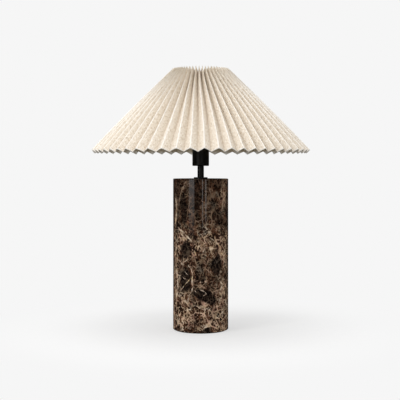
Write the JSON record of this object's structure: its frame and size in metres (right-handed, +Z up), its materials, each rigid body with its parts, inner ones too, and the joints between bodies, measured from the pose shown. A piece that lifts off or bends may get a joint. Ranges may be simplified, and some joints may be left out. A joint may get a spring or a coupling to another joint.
{
  "type": "column table lamp",
  "caption": "Table lamp with a polished marble cylinder for a column, a slim black neck and cup holder, and a wide cone shade of accordion-pleated linen.",
  "frame": {"origin": "centre of the foot, on the surface that the lamp stands on", "axes": "+Z up along the column, +Y to the back where the cord inlet is, +X to the right seen from the front"},
  "size_m": [0.475, 0.475, 0.568],
  "materials": {
    "felt": "pressed grey felt",
    "marble": "polished dark brown marble with tan veins",
    "bush_plastic": "moulded black nylon",
    "zinc_steel": "zinc plated steel",
    "black_paint": "satin black powder coat",
    "porcelain": "glazed white porcelain",
    "contact_brass": "drawn brass",
    "shell_brass": "nickel plated brass",
    "black_resin": "moulded black phenolic resin",
    "frame_paint": "ivory powder coat",
    "shade_linen": "beige linen bonded to a stiff film",
    "opal_glass": "opal glass, unlit",
    "cap_metal": "rolled aluminium",
    "black_glass": "black glass insulator",
    "solder": "solder dome"
  },
  "bodies": {
    "base": {"base_pad": "felt", "marble_column": "marble", "cord_bush": "bush_plastic", "clamp_washer": "zinc_steel", "lock_washer": "zinc_steel", "column_nut": "zinc_steel", "threaded_rod": "zinc_steel", "seat_washer": "black_paint", "neck_tube": "black_paint", "holder_cap": "black_paint", "cap_lock_washer": "zinc_steel", "cap_nut": "zinc_steel", "holder_core": "porcelain", "terminal_screws": "contact_brass", "centre_contact": "contact_brass", "screw_shell": "shell_brass", "holder_sleeve": "black_resin"},
    "shade": {"fitter_plate": "frame_paint", "fitter_arms": "frame_paint", "lower_hoop": "frame_paint", "upper_hoop": "frame_paint", "frame_struts": "frame_paint", "front_cloth": "shade_linen", "back_cloth": "shade_linen"},
    "clamp": {"shade_ring": "black_resin"},
    "bulb_foot": {"bulb_tip": "solder"},
    "bulb": {"bulb_globe": "opal_glass", "bulb_cap": "cap_metal", "bulb_insulator": "black_glass"}
  },
  "joints": [
    {"name": "shade_turn", "type": "hinge", "parent": "base", "child": "shade", "pos_m": [0, 0, 0.402], "axis": [0, 0, 1], "continuous": true},
    {"name": "ring_lift", "type": "slide", "parent": "base", "child": "clamp", "axis": [0, 0, 1], "range_m": [0, 0.016]},
    {"name": "bulb_rise", "type": "slide", "parent": "base", "child": "bulb_foot", "axis": [0, 0, 1], "range_m": [0, 0.0146]},
    {"name": "bulb_turn", "type": "hinge", "parent": "bulb_foot", "child": "bulb", "pos_m": [0, 0, 0.45], "axis": [0, 0, 1], "range_deg": [0, 1440]}
  ],
  "couplings": [
    {"joint": "bulb_rise", "follows": "bulb_turn", "m_per_rad": 0.00057757}
  ]
}
